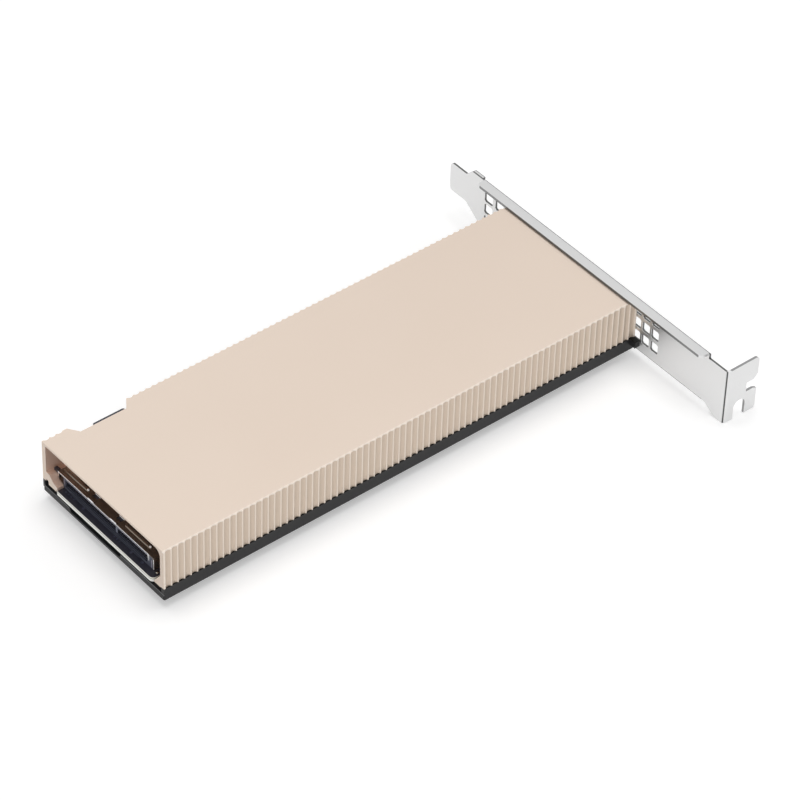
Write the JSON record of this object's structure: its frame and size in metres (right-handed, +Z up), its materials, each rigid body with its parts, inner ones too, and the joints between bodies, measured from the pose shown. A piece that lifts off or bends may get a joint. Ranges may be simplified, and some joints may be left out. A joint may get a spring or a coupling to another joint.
{
  "type": "ethernet adapter card",
  "caption": "Low network adapter card with a fluted metal cover, black back plate, slot tongue, vented folded bracket and a shielded connector in the cover's open tail.",
  "frame": {"origin": "middle of the back plate's flat underside", "axes": "+X along the card away from the bracket, +Y across the card away from the slot tongue, +Z up through the cover's roof"},
  "size_m": [0.1797, 0.12, 0.0213],
  "materials": {
    "cover_metal": "fine matt, warm silver",
    "black_metal": "black anodised",
    "board_laminate": "dark blue solder mask",
    "gold_plating": "gold plated",
    "bracket_steel": "satin nickel plated",
    "cage_steel": "bright tin plated",
    "gasket_steel": "bright",
    "connector_plastic": "black",
    "clear_plastic": "clear",
    "light_body": "pale",
    "shell_steel": "bright rolled",
    "housing_plastic": "dark blue grey",
    "chip_laminate": "green laminate",
    "lid_metal": "nickel plated",
    "pad_rubber": "soft grey",
    "sink_aluminium": "plain",
    "screw_steel": "zinc plated",
    "component_black": "moulded",
    "inductor_grey": "pressed powder",
    "capacitor_can": "plain",
    "ceramic_tan": "fired",
    "oscillator_can": "plated",
    "film_plastic": "black film"
  },
  "bodies": {
    "root": {"cover": "cover_metal", "base_plate": "black_metal", "circuit_board": "board_laminate", "slot_contacts_component_side": "gold_plating", "slot_contacts_solder_side": "gold_plating", "bracket": "bracket_steel", "port_cage_1": "cage_steel", "port_cage_2": "cage_steel", "port_gasket_1": "gasket_steel", "port_gasket_2": "gasket_steel", "port_connector_1": "connector_plastic", "port_connector_2": "connector_plastic", "light_guide_1": "clear_plastic", "light_guide_2": "clear_plastic", "status_lights": "light_body", "tail_shell": "shell_steel", "tail_housing": "housing_plastic", "tail_contacts_upper": "gold_plating", "tail_contacts_lower": "gold_plating", "network_chip": "chip_laminate", "chip_lid": "lid_metal", "thermal_pad": "pad_rubber", "heat_sink": "sink_aluminium", "heat_sink_screws": "screw_steel", "power_stages": "component_black", "power_inductors": "inductor_grey", "polymer_capacitors": "capacitor_can", "ceramic_capacitors": "ceramic_tan", "flash_memory": "component_black", "management_controller": "component_black", "clock_oscillator": "oscillator_can", "insulating_film": "film_plastic", "cover_screws": "screw_steel", "ear_screws": "screw_steel"}
  },
  "joints": []
}
